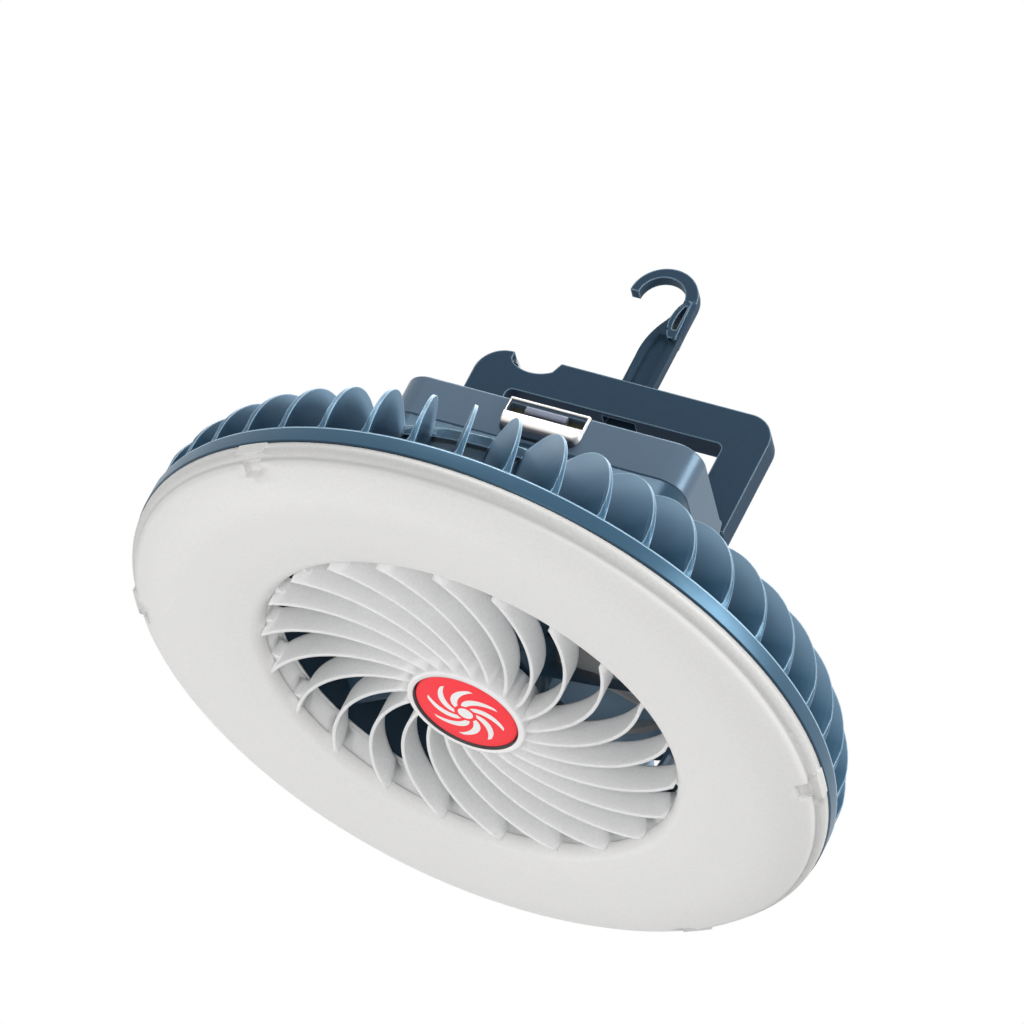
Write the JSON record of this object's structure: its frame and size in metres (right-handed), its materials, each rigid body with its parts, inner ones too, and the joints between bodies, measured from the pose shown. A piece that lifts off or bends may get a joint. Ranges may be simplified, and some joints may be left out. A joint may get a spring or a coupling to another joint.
{
  "type": "portable camping fan",
  "caption": "Round portable fan with a ring light round its grille, a finned body, a battery box on its back, and a fold-down bail with a bottle opener and a pull-out hook.",
  "frame": {"origin": "on the fan's axis, in the plane that the light's face rests on", "axes": "+Z from the light's face to the back, along the fan's axis; X along the long side of the battery box; -Y out of the wall that holds the light slider"},
  "size_m": [0.2104, 0.2104, 0.1579],
  "materials": {
    "blue_body": "satin, moulded blue",
    "navy_frame": "fine matt texture, dark navy",
    "cover_grey": "satin grey-blue",
    "frosted_light": "frosted translucent, faint grain",
    "grille_grey": "pale grey, satin",
    "button_red": "gloss coral red",
    "duct_navy": "matt, dark navy",
    "fan_blade": "satin, dark navy",
    "mount_grey": "pale grey, moulded",
    "motor_steel": "drawn steel",
    "shaft_steel": "ground steel",
    "bush_bronze": "sintered bronze",
    "screw_steel": "zinc plated",
    "board_green": "solder mask",
    "board_white": "white solder mask",
    "led_chip": "phosphor",
    "cell_wrap": "shrink wrap",
    "cradle_black": "black, moulded",
    "nickel": "nickel strip",
    "scoop_chrome": "bright plated",
    "signal_clear": "clear light pipe",
    "tooth_steel": "stamped steel"
  },
  "bodies": {
    "housing": {"body_shell": "blue_body", "light_tray": "duct_navy", "diffuser": "frosted_light", "led_board": "board_white", "led_chips": "led_chip", "front_grille": "grille_grey", "switch_board": "board_green", "motor_can": "motor_steel", "motor_bearings": "bush_bronze", "motor_mount": "mount_grey", "motor_screws": "screw_steel", "battery_cells": "cell_wrap", "cell_cradle": "cradle_black", "cell_straps": "nickel", "control_board": "board_green", "usb_c_port": "nickel", "charge_light": "signal_clear", "battery_cover": "cover_grey", "cover_screws": "screw_steel", "slider_scoop": "scoop_chrome", "slide_switch": "cradle_black"},
    "rotor": {"impeller": "fan_blade", "impeller_nut": "shaft_steel", "motor_shaft": "shaft_steel"},
    "button": {"fan_button": "button_red"},
    "slider": {"light_slider": "cover_grey"},
    "bail": {"bail_frame": "navy_frame", "opener_tooth": "tooth_steel", "bail_pins": "shaft_steel", "hook_pin": "shaft_steel"},
    "hook": {"hook_arm": "navy_frame", "hook_curl": "navy_frame"}
  },
  "joints": [
    {"name": "fan_spin", "type": "hinge", "parent": "housing", "child": "rotor", "pos_m": [0, 0, 0.02], "axis": [0, 0, 1], "continuous": true},
    {"name": "button_press", "type": "slide", "parent": "housing", "child": "button", "axis": [0, 0, 1], "range_m": [0, 0.001], "stiffness_N_per_m": 900, "springref_m": -0.0005},
    {"name": "slider_move", "type": "slide", "parent": "housing", "child": "slider", "axis": [1, 0, 0], "range_m": [-0.0038, 0.0038]},
    {"name": "bail_fold", "type": "hinge", "parent": "housing", "child": "bail", "pos_m": [0, 0, 0.0812], "axis": [1, 0, 0], "range_deg": [0, 90]},
    {"name": "hook_slide", "type": "slide", "parent": "bail", "child": "hook", "axis": [0, 0, -1], "range_m": [0, 0.0177]}
  ]
}
